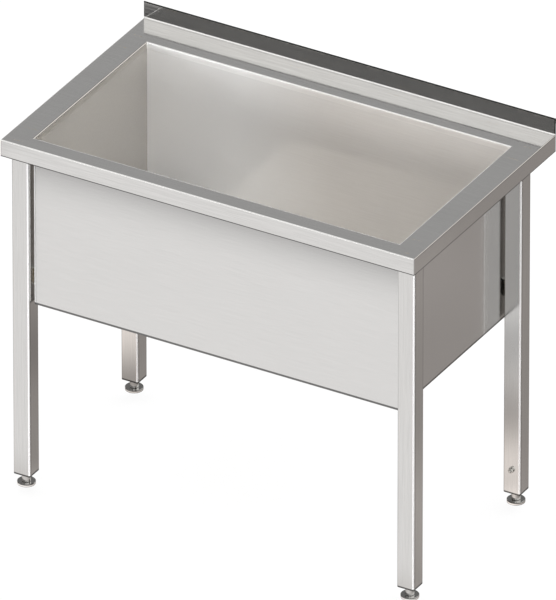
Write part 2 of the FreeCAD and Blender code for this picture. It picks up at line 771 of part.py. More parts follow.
def at_drain(body):
    return at_corner(body, "worktop_length / 2", "bowl_middle")


def waste_flange():
    """Steel ring on the bowl's floor: dished mouth, recess with a ledge for the strainer, neck."""
    body = new_body("waste_flange")
    flange_foot = "drain_level + gasket"
    flange_head = "drain_level + gasket + waste_flange"
    neck_foot = "drain_level - waste_neck"
    revolve(body, "turning", [
        ("waste_ledge_radius", neck_foot), ("waste_neck_radius", neck_foot),
        ("waste_neck_radius", flange_foot), ("waste_flange_radius", flange_foot),
        ("waste_flange_radius", f"{flange_foot} + waste_flange_rim"),
        ("waste_mouth_radius", flange_head), ("waste_seat_radius", "drain_level"),
        ("waste_seat_radius", "ledge"), ("waste_ledge_radius", "ledge"),
    ])
    return at_drain(body)


def waste_body():
    """Plastic body under the floor: collar, cup, threaded tail and a bridge across the bore."""
    body = new_body("waste_body")
    tail_foot = "drain_level - waste_tail"
    shoulder = "cup_floor - cup_floor_wall"
    collar_foot = "collar_head - collar_thickness"
    cup_bore = "waste_neck_radius + neck_clearance"
    revolve(body, "turning", [
        ("waste_bore_radius", tail_foot), ("waste_tail_radius", tail_foot),
        ("waste_tail_radius", shoulder), ("cup_radius", shoulder), ("cup_radius", collar_foot),
        ("collar_radius", collar_foot), ("collar_radius", "collar_head"),
        (cup_bore, "collar_head"), (cup_bore, "cup_floor"), ("waste_bore_radius", "cup_floor"),
    ])
    bar = new_sketch(body, "XY_Plane", "bridge_plan", "cup_floor - bridge_height")
    reach = "(waste_bore_radius + waste_tail_radius) / 2"
    rectangle(bar, f"-{reach}", reach, "-bridge_width / 2", "bridge_width / 2")
    pad(body, "bridge", bar, "bridge_height")
    thread = new_sketch(body, "XY_Plane", "thread_plan", "cup_floor")
    circle(thread, "0", "0", "strainer_screw_radius + screw_clearance")
    pocket(body, "thread", thread, "bridge_height")
    return at_drain(body)


def waste_gasket(label, foot, height):
    body = new_body(label)
    inner = "waste_neck_radius + gasket_clearance"
    head = f"{foot} + {height}"
    revolve(body, "ring", [
        (inner, foot), ("gasket_radius", foot), ("gasket_radius", head), (inner, head),
    ])
    return at_drain(body)


def strainer():
    """Perforated disc on the ledge in the ring."""
    body = new_body("strainer")
    head = "ledge + strainer_sheet"
    disc = new_sketch(body, "XY_Plane", "disc_plan", "ledge")
    circle(disc, "0", "0", "waste_seat_radius - strainer_clearance")
    pad(body, "disc", disc, "strainer_sheet")
    centre = new_sketch(body, "XY_Plane", "centre_plan", head)
    circle(centre, "0", "0", "strainer_screw_radius + hole_clearance")
    pocket(body, "centre", centre, "strainer_sheet")
    for place, count in STRAINER_HOLES.items():
        plan = new_sketch(body, "XY_Plane", f"{place}_hole_plan", head)
        circle(plan, f"strainer_ring_{place}", "0", "strainer_hole_radius")
        pocket(body, f"{place}_hole", plan, "strainer_sheet")
        ring(body, f"{place}_ring", count)
    return at_drain(body)


def strainer_screw():
    """Screw from the strainer into the bridge, which clamps the ring and the body to the floor."""
    body = new_body("strainer_screw")
    seat = "ledge + strainer_sheet"
    head = f"{seat} + strainer_screw_head"
    tip = "cup_floor - bridge_height - strainer_screw_tip"
    revolve(body, "turning", [
        ("0", tip), ("strainer_screw_radius", tip), ("strainer_screw_radius", seat),
        ("strainer_screw_head_radius", seat),
        ("strainer_screw_head_radius", f"{seat} + strainer_screw_rim"),
        ("strainer_screw_crown", head), ("0", head),
    ])
    return at_drain(body)


# ---- bonding stud on the rear right leg ------------------------------------------------------------

def at_bond(body):
    """Place a body drawn about its z axis so that z points forward, out of the leg's front face."""
    at_corner(body, CORNERS["rear_right"][0], f"{CORNERS['rear_right'][1]} - leg_side / 2",
              "bond_height")
    body.Placement.Rotation = Rotation(Vector(1, 0, 0), 90)
    doc.recompute()
    return body


def bond_ring(label, inner, outer, foot, head):
    body = new_body(label)
    revolve(body, "ring", [(inner, foot), (outer, foot), (outer, head), (inner, head)])
    return at_bond(body)


def bonding():
    """Rivet nut in the tube's wall, and the stud, washer and nut of the earth connection."""
    thread = "bond_radius + screw_clearance"
    rivet_nut = new_body("bonding_rivet_nut")
    revolve(rivet_nut, "turning", [
        (thread, "-rivet_nut_length"), ("rivet_nut_radius", "-rivet_nut_length"),
        ("rivet_nut_radius", "0"), ("rivet_nut_flange_radius", "0"),
        ("rivet_nut_flange_radius", "rivet_nut_flange"), (thread, "rivet_nut_flange"),
    ])
    keep(at_bond(rivet_nut))
    stud = new_body("bonding_stud")
    revolve(stud, "rod", [
        ("0", "-bond_inside"), ("bond_radius", "-bond_inside"),
        ("bond_radius", "bond_proud - screw_chamfer"), ("bond_radius - screw_chamfer", "bond_proud"),
        ("0", "bond_proud"),
    ])
    keep(at_bond(stud))
    keep(bond_ring("bonding_washer", "bond_radius + hole_clearance", "washer_radius",
                   "rivet_nut_flange", "rivet_nut_flange + washer"))
    nut = new_body("bonding_nut")
    seat = "rivet_nut_flange + washer"
    pad(nut, "blank", hexagon(new_sketch(nut, "XY_Plane", "plan", seat), "bond_nut_flats"), "bond_nut")
    hole = new_sketch(nut, "XY_Plane", "thread_plan", f"{seat} + bond_nut")
    circle(hole, "0", "0", thread)
    pocket(nut, "thread", hole, "bond_nut")
    keep(at_bond(nut))


# ---- the whole sink --------------------------------------------------------------------------------

def build():
    keep(worktop())
    keep(rear_apron())
    bowl_walls()
    keep(bowl_floor())
    for place in CORNERS:
        for make in (leg, leg_socket, leg_insert, insert_nut):
            keep(make(place))
        for make in (foot_base, foot_pad, foot_stem, foot_stud):
            keep(make(place))
    keep(leg_screws())
    keep(leg_spacers())
    keep(waste_flange())
    keep(waste_gasket("waste_gasket_upper", "drain_level", "gasket"))
    keep(waste_gasket("waste_gasket_lower", "collar_head", "lower_gasket"))
    keep(waste_body())
    keep(strainer())
    keep(strainer_screw())
    bonding()


def check():
    """Every object has worked out, and every sub-part is a sound solid."""
    doc.recompute()
    for thing in doc.Objects:
        assert not {"Invalid", "Error"} & set(thing.State), f"{thing.Label}: {thing.State}"
    for body in PARTS:
        shape = body.Shape
        assert not shape.isNull() and shape.isValid() and shape.Solids, f"{body.Label} is not sound"


def export():
    os.makedirs("parts", exist_ok=True)
    for body in PARTS:
        body.Shape.exportStep(f"parts/{body.Label}.step")
        box = body.Shape.BoundBox
        print(f"{body.Label:26s} {len(body.Shape.Solids)} solid  {body.Shape.Volume / 1000:9.2f} cm3"
              f"  z {box.ZMin:7.2f} to {box.ZMax:7.2f}")
    print(len(PARTS), "sub-parts")


build()
check()
export()
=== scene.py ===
# %% [markdown]
# # A free-standing stainless steel laundry sink
# The shape of every steel sheet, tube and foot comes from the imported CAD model. This file gives each
# surface its finish, adds the screw threads and weld beads that a drawing leaves out, and lights the
# sink in a plain pale studio. Sheet metal has hardly any colour of its own: it shows what stands
# around it. That is why the studio is built with as much care as the metal.

# %% Load the model
import math

import bmesh
import bpy
from mathutils import Matrix, Vector


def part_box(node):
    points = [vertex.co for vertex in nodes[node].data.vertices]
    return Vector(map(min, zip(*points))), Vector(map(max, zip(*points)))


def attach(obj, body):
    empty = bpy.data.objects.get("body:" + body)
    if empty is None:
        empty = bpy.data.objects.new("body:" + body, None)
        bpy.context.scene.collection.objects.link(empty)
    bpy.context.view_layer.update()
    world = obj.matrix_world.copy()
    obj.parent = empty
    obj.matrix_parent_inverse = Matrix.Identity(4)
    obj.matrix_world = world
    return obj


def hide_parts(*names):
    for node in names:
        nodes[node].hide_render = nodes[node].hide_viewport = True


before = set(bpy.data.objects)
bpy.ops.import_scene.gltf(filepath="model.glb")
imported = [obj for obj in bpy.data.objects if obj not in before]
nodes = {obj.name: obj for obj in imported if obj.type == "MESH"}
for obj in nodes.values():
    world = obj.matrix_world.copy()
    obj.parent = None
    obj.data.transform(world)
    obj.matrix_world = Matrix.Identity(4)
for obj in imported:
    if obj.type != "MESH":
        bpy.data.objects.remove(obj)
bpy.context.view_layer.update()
scene = bpy.context.scene
PLACES = ("front_left", "front_right", "rear_left", "rear_right")


# %% [markdown]
# ## Camera
# The photograph shows no perspective: edges that are parallel on the sink are parallel in the picture.
# An orthographic camera would give that, but it keeps its width when it moves, so a lens of 1500 mm
# far away is used instead. Its lines converge by less than a pixel or two. The direction follows from
# the slopes of the worktop's edges: 30 degrees to the right of the front and 30.3 degrees up.

# %% Place the camera
AZIMUTH, ELEVATION = math.radians(30.0), math.radians(30.3)
PICTURE_HEIGHT = 1.2634        # metres seen from the top of the picture to its bottom
LENS, SENSOR = 1500.0, 36.0    # millimetres
NEAREST, FARTHEST = 1.0, 80.0  # metres that the camera draws
AIM = Vector((-0.0008, 0.0006, 0.4541))

back = Vector((math.sin(AZIMUTH) * math.cos(ELEVATION),
               -math.cos(AZIMUTH) * math.cos(ELEVATION), math.sin(ELEVATION)))
camera = bpy.data.objects.new("camera", bpy.data.cameras.new("camera"))
camera.data.lens, camera.data.sensor_width = LENS, SENSOR
camera.data.clip_start, camera.data.clip_end = NEAREST, FARTHEST
camera.location = AIM + back * (PICTURE_HEIGHT * LENS / SENSOR)
camera.rotation_euler = (-back).to_track_quat("-Z", "Y").to_euler()
scene.collection.objects.link(camera)
scene.camera = camera
print(f"camera {camera.location.length:.1f} m away")

# %% [markdown]
# ## Two helpers for node trees
# A shader is a small graph, and so is a Geometry Nodes tree. `add` makes one node of such a tree and
# sets its properties and inputs. An input given as another node's output is linked to it, and one given
# as a node is linked to that node's first output. `tone` turns a colour as a paint program writes it
# into the linear values that light needs.

# %% Helpers for node trees
def tone(code):
    channels = [int(code[i:i + 2], 16) / 255 for i in (1, 3, 5)]
    return [c / 12.92 if c <= 0.04045 else ((c + 0.055) / 1.055) ** 2.4 for c in channels] + [1.0]


def add(tree, kind, inputs=(), **settings):
    node = tree.nodes.new(kind)
    for name, value in settings.items():
        setattr(node, name, value)
    for key, value in dict(inputs).items():
        if isinstance(value, bpy.types.Node):
            value = value.outputs[0]
        if isinstance(value, bpy.types.NodeSocket):
            tree.links.new(value, node.inputs[key])
        else:
            node.inputs[key].default_value = value
    return node


print("white is", [round(c, 3) for c in tone("#FFFFFF")])

# %% [markdown]
# ## Studio
# A mirror-like sheet shows one direction of the room per face: seen from here the front faces show the
# floor in front, the right-hand faces show the floor behind, and the rims show the wall up behind the
# sink. So the room is pale all round and a little duller overhead. One bright card stands low in front,
# another higher up on the right, and grey belts run round in front and at the left behind. The camera
# itself sees plain white, so that the sink stands on a white ground. Heights in the room are the sine
# of the angle above the horizon.

# %% World
def band(tree, value, low, high, soft):
    """One between low and high, fading to nothing over soft outside them."""
    return add(tree, "ShaderNodeMath",
               {0: add(tree, "ShaderNodeMapRange", {0: value, 1: low - soft, 2: low, 3: 0.0, 4: 1.0},
                       interpolation_type="SMOOTHSTEP"),
                1: add(tree, "ShaderNodeMapRange", {0: value, 1: high, 2: high + soft, 3: 1.0, 4: 0.0},
                       interpolation_type="SMOOTHSTEP")}, operation="MULTIPLY").outputs[0]


TOWARDS_FRONT = (-0.5, -0.866, 0.0)      # where a front face sends the camera's line of sight
RIGHT_CARD, FRONT_CARD = 2.15, 1.4       # strengths, added to that of the room
ROOM_LEFT, ROOM_RIGHT, OVERHEAD = 1.2, 1.0, 0.75     # strengths, the last as a share of the others
BELT_BEHIND, BELT_IN_FRONT = 0.40, 0.16  # strengths of the grey belts

world = bpy.data.worlds.new("studio")
scene.world = world
world.use_nodes = True
room = world.node_tree
room.nodes.clear()
direction = add(room, "ShaderNodeTexCoord").outputs["Generated"]
height = add(room, "ShaderNodeSeparateXYZ", {0: direction}).outputs["Z"]
to_right = add(room, "ShaderNodeSeparateXYZ", {0: direction}).outputs["X"]
towards_front = add(room, "ShaderNodeVectorMath", {0: direction, 1: TOWARDS_FRONT},
                    operation="DOT_PRODUCT").outputs["Value"]
in_front = add(room, "ShaderNodeMapRange", {0: towards_front, 1: -0.15, 2: 0.30, 3: 0.0, 4: 1.0},
               interpolation_type="SMOOTHSTEP").outputs[0]
right_card = add(room, "ShaderNodeMath",
                 {0: band(room, height, 0.40, 0.70, 0.12),
                  1: add(room, "ShaderNodeMapRange",
                         {0: to_right, 1: -0.1, 2: 0.2, 3: 0.0, 4: RIGHT_CARD},
                         interpolation_type="SMOOTHSTEP")}, operation="MULTIPLY").outputs[0]
front_card = add(room, "ShaderNodeMath",
                 {0: add(room, "ShaderNodeMapRange",
                         {0: height, 1: 0.20, 2: 0.30, 3: FRONT_CARD, 4: 0.0},
                         interpolation_type="SMOOTHSTEP"), 1: in_front}, operation="MULTIPLY").outputs[0]
room_light = add(room, "ShaderNodeMath",
                 {0: add(room, "ShaderNodeMapRange",
                         {0: to_right, 1: 0.0, 2: 0.4, 3: ROOM_LEFT, 4: ROOM_RIGHT},
                         interpolation_type="SMOOTHSTEP"),
                  1: add(room, "ShaderNodeMapRange", {0: height, 1: 0.90, 2: 0.97, 3: 1.0, 4: OVERHEAD},
                         interpolation_type="SMOOTHSTEP")}, operation="MULTIPLY").outputs[0]
pale = add(room, "ShaderNodeMath",
           {0: add(room, "ShaderNodeMath", {0: right_card, 1: front_card}, operation="ADD"),
            1: room_light}, operation="ADD").outputs[0]
grey = add(room, "ShaderNodeMix", {0: in_front, 2: BELT_BEHIND, 3: BELT_IN_FRONT}).outputs[0]
rear_belt = add(room, "ShaderNodeMath",
                {0: band(room, height, 0.42, 0.62, 0.08),
                 1: add(room, "ShaderNodeMapRange", {0: to_right, 1: -0.2, 2: 0.0, 3: 1.0, 4: 0.0},
                        interpolation_type="SMOOTHSTEP")}, operation="MULTIPLY").outputs[0]
belt = add(room, "ShaderNodeMix",
           {0: in_front, 2: rear_belt, 3: band(room, height, 0.28, 0.48, 0.02)}).outputs[0]
walls = add(room, "ShaderNodeMix", {0: belt, 2: pale, 3: grey}).outputs[0]
seen = add(room, "ShaderNodeLightPath").outputs["Is Camera Ray"]
strength = add(room, "ShaderNodeMix", {0: seen, 2: walls, 3: 1.0}).outputs[0]
glow = add(room, "ShaderNodeBackground", {"Color": tone("#FFFFFF"), "Strength": strength})
add(room, "ShaderNodeOutputWorld", {"Surface": glow.outputs[0]})
print("world made")

# %% [markdown]
# ## Floor
# The floor is pale in front and greyer behind. Only reflections see that, and only they see the round
# patches that make parts of it lighter or darker: each patch is where one face of the sink looks, and
# gives that face the light that it has in the photograph. The camera sees a nearly white floor that
# catches a faint shadow. It lies just under the feet when they are screwed right out, so that no pose
# goes through it. The last four patches lie in front of the feet.

# %% Floor
FLOOR_SIDE, FLOOR_LEVEL = 30.0, -0.0202      # metres
FRONT_LIGHT, RIGHT_LIGHT, REAR_LIGHT, LEAST_LIGHT = 0.95, 0.57, 0.34, 0.03
REAR_FROM, REAR_TO = -0.46, -0.12            # y between which the front's light turns into the rear's
RIGHT_FROM, RIGHT_TO = 0.45, 0.60            # x between which the front's light falls to the right's
SHADOWLESS = 0.88                            # share of plain white in the floor that the camera sees
POOLS = [                      # x, y, radius in metres, and the light that the patch adds or takes away
    (0.365, -0.01, 0.26, 0.62),
    (0.10, -0.45, 0.20, -0.50),
    (-0.66, -0.10, 0.30, 0.75),
    (0.70, 0.08, 0.42, 0.13),
    (-1.56, -1.51, 0.36, -1.40),
    (-0.14, 0.27, 0.25, -0.09),
    (1.18, 0.95, 0.35, 0.06),
    (0.467, -0.276, 0.10, 0.60),
    (-0.467, -0.276, 0.10, 0.60),
    (0.45, 0.146, 0.12, 0.62),
    (-0.467, 0.176, 0.10, 0.60),
]

mesh = bpy.data.meshes.new("floor")
half = FLOOR_SIDE / 2
corners = [(x * half, y * half, FLOOR_LEVEL) for x, y in ((-1, -1), (1, -1), (1, 1), (-1, 1))]
mesh.from_pydata(corners, [], [(0, 1, 2, 3)])
floor = bpy.data.objects.new("floor", mesh)
scene.collection.objects.link(floor)

paint = bpy.data.materials.new("studio_floor_paint")
paint.use_nodes = True
ground = paint.node_tree
ground.nodes.clear()
spot = add(ground, "ShaderNodeTexCoord").outputs["Object"]
to_rear = add(ground, "ShaderNodeSeparateXYZ", {0: spot}).outputs["Y"]
beside = add(ground, "ShaderNodeSeparateXYZ", {0: spot}).outputs["X"]
front_light = add(ground, "ShaderNodeMapRange",
                  {0: beside, 1: RIGHT_FROM, 2: RIGHT_TO, 3: FRONT_LIGHT, 4: RIGHT_LIGHT},
                  interpolation_type="SMOOTHSTEP").outputs[0]
behind = add(ground, "ShaderNodeMapRange", {0: to_rear, 1: REAR_FROM, 2: REAR_TO, 3: 0.0, 4: 1.0},
             interpolation_type="SMOOTHSTEP").outputs[0]
shade = add(ground, "ShaderNodeMix", {0: behind, 2: front_light, 3: REAR_LIGHT}).outputs[0]
for x, y, radius, change in POOLS:
    away = add(ground, "ShaderNodeVectorMath", {0: spot, 1: (x, y, FLOOR_LEVEL)},
               operation="DISTANCE").outputs["Value"]
    shade = add(ground, "ShaderNodeMath",
                {0: shade,
                 1: add(ground, "ShaderNodeMapRange", {0: away, 1: 0.0, 2: radius, 3: change, 4: 0.0},
                        interpolation_type="SMOOTHSTEP")}, operation="ADD").outputs[0]
shade = add(ground, "ShaderNodeMath", {0: shade, 1: LEAST_LIGHT}, operation="MAXIMUM").outputs[0]
tint = add(ground, "ShaderNodeMix", {0: behind, 6: tone("#FFFEFE"), 7: tone("#FFF7F2")},
           data_type="RGBA").outputs[2]
light = add(ground, "ShaderNodeEmission", {"Color": tint, "Strength": shade})
catcher = add(ground, "ShaderNodeBsdfDiffuse", {"Color": tone("#F4F4F4")})
white = add(ground, "ShaderNodeEmission", {"Color": tone("#FFFFFF"), "Strength": 1.0})
shown = add(ground, "ShaderNodeMixShader", {0: SHADOWLESS, 1: catcher.outputs[0], 2: white.outputs[0]})
seen = add(ground, "ShaderNodeLightPath").outputs["Is Camera Ray"]
both = add(ground, "ShaderNodeMixShader", {0: seen, 1: light.outputs[0], 2: shown.outputs[0]})
add(ground, "ShaderNodeOutputMaterial", {"Surface": both.outputs[0]})
mesh.materials.append(paint)
print(f"floor {FLOOR_SIDE:.0f} m square")

# %% Lamp
LAMP_WIDTH, LAMP_DEPTH, LAMP_POWER = 2.4, 1.8, 18.0      # metres and watts
LAMP_PLACE, LAMP_TARGET = Vector((-0.6, -0.25, 2.9)), Vector((0, 0, 0.6))

lamp = bpy.data.objects.new("softbox", bpy.data.lights.new("softbox", "AREA"))
lamp.data.shape = "RECTANGLE"
lamp.data.size, lamp.data.size_y = LAMP_WIDTH, LAMP_DEPTH
lamp.data.energy = LAMP_POWER
lamp.location = LAMP_PLACE
lamp.rotation_euler = (LAMP_PLACE - LAMP_TARGET).to_track_quat("Z", "Y").to_euler()
lamp.visible_camera = False
lamp.visible_glossy = False
scene.collection.objects.link(lamp)
scene.view_settings.view_transform = "Standard"
print(f"softbox {lamp.data.energy:.0f} W")

# %% [markdown]
# ## Ground stainless steel
# The sheet is stainless steel, grade 304, dull-polished with a grinding belt of about 240 grit. The belt
# leaves fine parallel scratches along the sheet, so the sheen is sharp across them and drawn out along
# them. Real scratches are some hundredths of a millimetre wide. At two millimetres to a pixel they
# would vanish, so the pattern is drawn about 2 mm wide and 80 mm long.
#
# Two things follow the photograph and not the metal. The bowl's walls differ in sheen, and their inner
# tones are painted light and shade. Thin lines of tone lie along edges: painted shade on the apron's
# lower edge, the upstand's hem, bends that face +X and beside the legs' corners, painted highlights on
# the bowl's front left corner and the legs' front right corners, and a dark line along the bowl's bottom
# seam.
# Painted shade also darkens the front wall's outside under the apron.

# %% Ground stainless steel
MM = 0.001
SCRATCH, PATCH = (2.2 * MM, 80 * MM), (90 * MM, 240 * MM)      # width and length
SCRATCH_STRENGTH = 0.02
LIGHT_FADE_LEFT, LIGHT_FADE_RIGHT = -0.25, 0.05      # x between which a wall's painted light turns from its left tone into its right one
SHADE_OUTSIDE, SHADE_INSIDE = -0.2595, -0.2590     # y within the front wall's sheet; the painted shade lies outside
SHADE_GROWTH = 2.6                        # power by which the painted shade deepens towards its top


def new_material(name, metal):
    """A material, its tree and its shader."""
    made = bpy.data.materials.new(name)
    made.use_nodes = True
    shader = made.node_tree.nodes["Principled BSDF"]
    shader.inputs["Metallic"].default_value = metal
    return made, made.node_tree, shader


def surface(tree, shader, skin, sheen, bump):
    for title, result in (("Base Color", skin), ("Roughness", sheen), ("Normal", bump.outputs[0])):
        tree.links.new(result, shader.inputs[title])


def grain(tree, width, length, along):
    """Noise drawn out along one axis; width and length are metres."""
    spot = add(tree, "ShaderNodeTexCoord").outputs["Object"]
    scale = [1 / width] * 3
    scale["XYZ".index(along)] = 1 / length
    drawn = add(tree, "ShaderNodeMapping", {"Vector": spot, "Scale": scale}).outputs[0]
    return add(tree, "ShaderNodeTexNoise", {"Vector": drawn, "Scale": 1.0, "Detail": 4.0,
                                            "Roughness": 0.6}).outputs[0]


def mark(tree, spot, low, high, soft):
    """One within a box between two corners of the piece, where None leaves a side open."""
    share = 1.0
    for axis, start, end in zip("XYZ", low, high):
        if start is not None:
            share = add(tree, "ShaderNodeMath", {0: share, 1: band(tree, spot[axis], start, end, soft)},
                        operation="MULTIPLY").outputs[0]
    return share


def ground_steel(name, colour, worn, smooth, rough, along="X", lean=None, fold_shade=None, inside=(),
                 coat=False, under_apron_shade=None, marks=(), centres=None):
    """Belt-ground stainless sheet: two close tones in patches and streaks, scratches along one axis.
    lean is the y and z from which a face leans back, and its slope. The fold tone is a painted shade on
    bends that face +X, which dims their highlight. inside gives boxes ground by hand, with a broader
    sheen and a left and a right tone that are painted light and shade. The shade under the apron is two
    heights between which the front wall's outside darkens with painted shade, and by how much. marks
    are boxes with a tone and perhaps a sheen of their own, mostly painted shade lines and painted
    highlights, and centres moves them to each leg's axis."""
    made, tree, shader = new_material(name, 1.0)
    spot = add(tree, "ShaderNodeSeparateXYZ",
               {0: add(tree, "ShaderNodeTexCoord").outputs["Object"]}).outputs
    lines = grain(tree, *SCRATCH, along)
    patches = grain(tree, *PATCH, along)
    streaks = add(tree, "ShaderNodeMapRange", {0: lines, 1: 0.35, 2: 0.65, 3: 0.0, 4: 1.0}).outputs[0]
    skin = add(tree, "ShaderNodeMix",
               {0: add(tree, "ShaderNodeMix", {0: 0.5, 2: patches, 3: streaks}), 6: tone(colour),
                7: tone(worn)}, data_type="RGBA").outputs[2]
    sheen = add(tree, "ShaderNodeMapRange", {0: lines, 1: 0.3, 2: 0.7, 3: smooth, 4: rough}).outputs[0]
    # Inside the bowl the sheen is broader and the walls' tones carry painted light and shade, the back
    # wall's fading from left to right.
    for low, high, inner_tone_and_light, hand_smooth, hand_rough in inside:
        within = mark(tree, spot, low, high, 0.2 * MM)
        to_right = add(tree, "ShaderNodeMapRange",
                       {0: spot["X"], 1: LIGHT_FADE_LEFT, 2: LIGHT_FADE_RIGHT, 3: 0.0, 4: 1.0},
                       interpolation_type="SMOOTHSTEP").outputs[0]
        tone_and_light_by_side = add(tree, "ShaderNodeMix", {0: to_right, 6: tone(inner_tone_and_light[0]), 7: tone(inner_tone_and_light[1])},
                      data_type="RGBA").outputs[2]
        skin = add(tree, "ShaderNodeMix", {0: within, 6: skin, 7: tone_and_light_by_side}, data_type="RGBA").outputs[2]
        by_hand = add(tree, "ShaderNodeMapRange",
                      {0: lines, 1: 0.3, 2: 0.7, 3: hand_smooth, 4: hand_rough}).outputs[0]
        sheen = add(tree, "ShaderNodeMix", {0: within, 2: sheen, 3: by_hand}).outputs[0]
    # Painted shade under the apron: the front wall's outside darkens towards its top.
    if under_apron_shade:
        low, high, depth = under_apron_shade
        shade_share = add(tree, "ShaderNodeMapRange", {0: spot["Z"], 1: low, 2: high}).outputs[0]
        shade_share = add(tree, "ShaderNodeMath", {0: shade_share, 1: SHADE_GROWTH}, operation="POWER").outputs[0]
        outer = add(tree, "ShaderNodeMapRange",
                    {0: spot["Y"], 1: SHADE_OUTSIDE, 2: SHADE_INSIDE, 3: depth, 4: 0.0},
                    interpolation_type="SMOOTHSTEP").outputs[0]
        skin = add(tree, "ShaderNodeMix",
                   {0: add(tree, "ShaderNodeMath", {0: shade_share, 1: outer}, operation="MULTIPLY"), 6: skin,
                    7: tone("#000002")}, data_type="RGBA").outputs[2]
    # Painted shade on bends that face +X, which dims their highlight.
    if fold_shade:
        face = add(tree, "ShaderNodeSeparateXYZ",
                   {0: add(tree, "ShaderNodeNewGeometry").outputs["Normal"]}).outputs
        fold_shade_share = add(tree, "ShaderNodeMapRange",
                   {0: add(tree, "ShaderNodeMath", {0: face["X"], 1: face["Z"]}, operation="MULTIPLY"),
                    1: 0.02, 2: 0.12, 3: 0.0, 4: 1.0}, interpolation_type="SMOOTHSTEP").outputs[0]
        skin = add(tree, "ShaderNodeMix", {0: fold_shade_share, 6: skin, 7: tone(fold_shade)},
                   data_type="RGBA").outputs[2]
    local = spot
    if centres:
        x, (front, rear) = centres
        own_x = add(tree, "ShaderNodeMath",
                    {0: add(tree, "ShaderNodeMath", {0: spot["X"]}, operation="SIGN"), 1: x},
                    operation="MULTIPLY").outputs[0]
        behind = add(tree, "ShaderNodeMath", {0: spot["Y"], 1: (front + rear) / 2},
                     operation="GREATER_THAN").outputs[0]
        own_y = add(tree, "ShaderNodeMapRange", {0: behind, 3: front, 4: rear}).outputs[0]
        local = {"X": add(tree, "ShaderNodeMath", {0: spot["X"], 1: own_x}, operation="SUBTRACT"),
                 "Y": add(tree, "ShaderNodeMath", {0: spot["Y"], 1: own_y}, operation="SUBTRACT"),
                 "Z": spot["Z"]}
    for low, high, mark_tone, mark_sheen in marks:
        share = mark(tree, local, low, high, 0.3 * MM)
        skin = add(tree, "ShaderNodeMix", {0: share, 6: skin, 7: tone(mark_tone)},
                   data_type="RGBA").outputs[2]
        if mark_sheen:
            sheen = add(tree, "ShaderNodeMix", {0: share, 2: sheen, 3: mark_sheen}).outputs[0]
    if coat:
        shader.inputs["Coat Weight"].default_value = 1.0
        shader.inputs["Coat IOR"].default_value = 2.0
        shader.inputs["Coat Roughness"].default_value = 0.06
    bump = add(tree, "ShaderNodeBump", {"Strength": SCRATCH_STRENGTH, "Distance": 0.2 * MM,
                                        "Height": lines})
    if lean:
        y, z, tip = lean
        there = add(tree, "ShaderNodeMath",
                    {0: add(tree, "ShaderNodeMapRange",
                            {0: spot["Y"], 1: y - 0.5 * MM, 2: y, 3: 0.0, 4: 1.0},
                            interpolation_type="SMOOTHSTEP"),
                     1: add(tree, "ShaderNodeMapRange",
                            {0: spot["Z"], 1: z, 2: z + 0.5 * MM, 3: 0.0, 4: tip},
                            interpolation_type="SMOOTHSTEP")}, operation="MULTIPLY").outputs[0]
        tip_up = add(tree, "ShaderNodeCombineXYZ", {"Z": there}).outputs[0]
        face = add(tree, "ShaderNodeNewGeometry").outputs["Normal"]
        leaning = add(tree, "ShaderNodeVectorMath", {0: face, 1: tip_up}, operation="ADD").outputs[0]
        level = add(tree, "ShaderNodeVectorMath", {0: leaning}, operation="NORMALIZE").outputs[0]
        tree.links.new(level, bump.inputs["Normal"])
    surface(tree, shader, skin, sheen, bump)
    return made


BOWL_LEFT, BOWL_RIGHT, BOWL_FRONT, BOWL_BACK = -0.4415, 0.4415, -0.2590, 0.2100     # inside, metres
UPSTAND_LEAN = (0.2978, 0.853, 0.07)     # y, z and slope
UNDER_APRON_SHADE = (0.66, 0.79, 0.45)          # two heights and the share of painted shade under the apron
LEG_X, LEG_FRONT_Y, LEG_REAR_Y = 0.467, -0.256, 0.196        # the legs' and the feet's axes
# The inner tones are painted light and shade: the left wall and the bowl's floor darker, the back wall
# lighter and lightest at its left.
LEFT_PAINTED_SHADE, BACK_PAINTED_LIGHT = ("#B5B1AB", "#B5B1AB"), ("#FFFFFF", "#E9E6E3")
BOWL_FLOOR_PAINTED_SHADE, OTHER_TONES = ("#E6E3DD", "#E6E3DD"), ("#F8F5F1", "#F8F5F1")
LEFT_SHEEN, BACK_SHEEN, OTHER_SHEEN = (0.50, 0.65), (0.62, 0.78), (0.45, 0.60)
# Painted shade lines along the apron's lower edge and the upstand's hem, and a dark line along the
# bowl's bottom seam.
APRON_SHADE_LINE, HEM_SHADE_LINE, SEAM_LINE = "#3F3E3C", "#3C3B3A", "#4A4947"

worktop_steel = ground_steel(
    "worktop_ground_304_sheet", "#E2E1DF", "#D2D1CF", 0.06, 0.14, lean=UPSTAND_LEAN, fold_shade="#8A8783",
    inside=[((BOWL_LEFT, BOWL_FRONT, None), (BOWL_LEFT + 1.5 * MM, BOWL_BACK, None),
             LEFT_PAINTED_SHADE, *LEFT_SHEEN),
            ((BOWL_LEFT, BOWL_BACK - MM, None), (BOWL_RIGHT, BOWL_BACK, None),
             BACK_PAINTED_LIGHT, *BACK_SHEEN)],
    # Painted shade lines: the apron's lower edge, the upstand's hem and its right end.
    marks=[((None, None, 0.8095), (None, None, 0.8123), APRON_SHADE_LINE, None),
           ((None, 0.2960, 0.8876), (None, 0.3005, 0.8905), HEM_SHADE_LINE, None),
           ((0.4975, 0.2960, 0.8532), (0.5005, 0.3005, 0.8905), HEM_SHADE_LINE, None)])


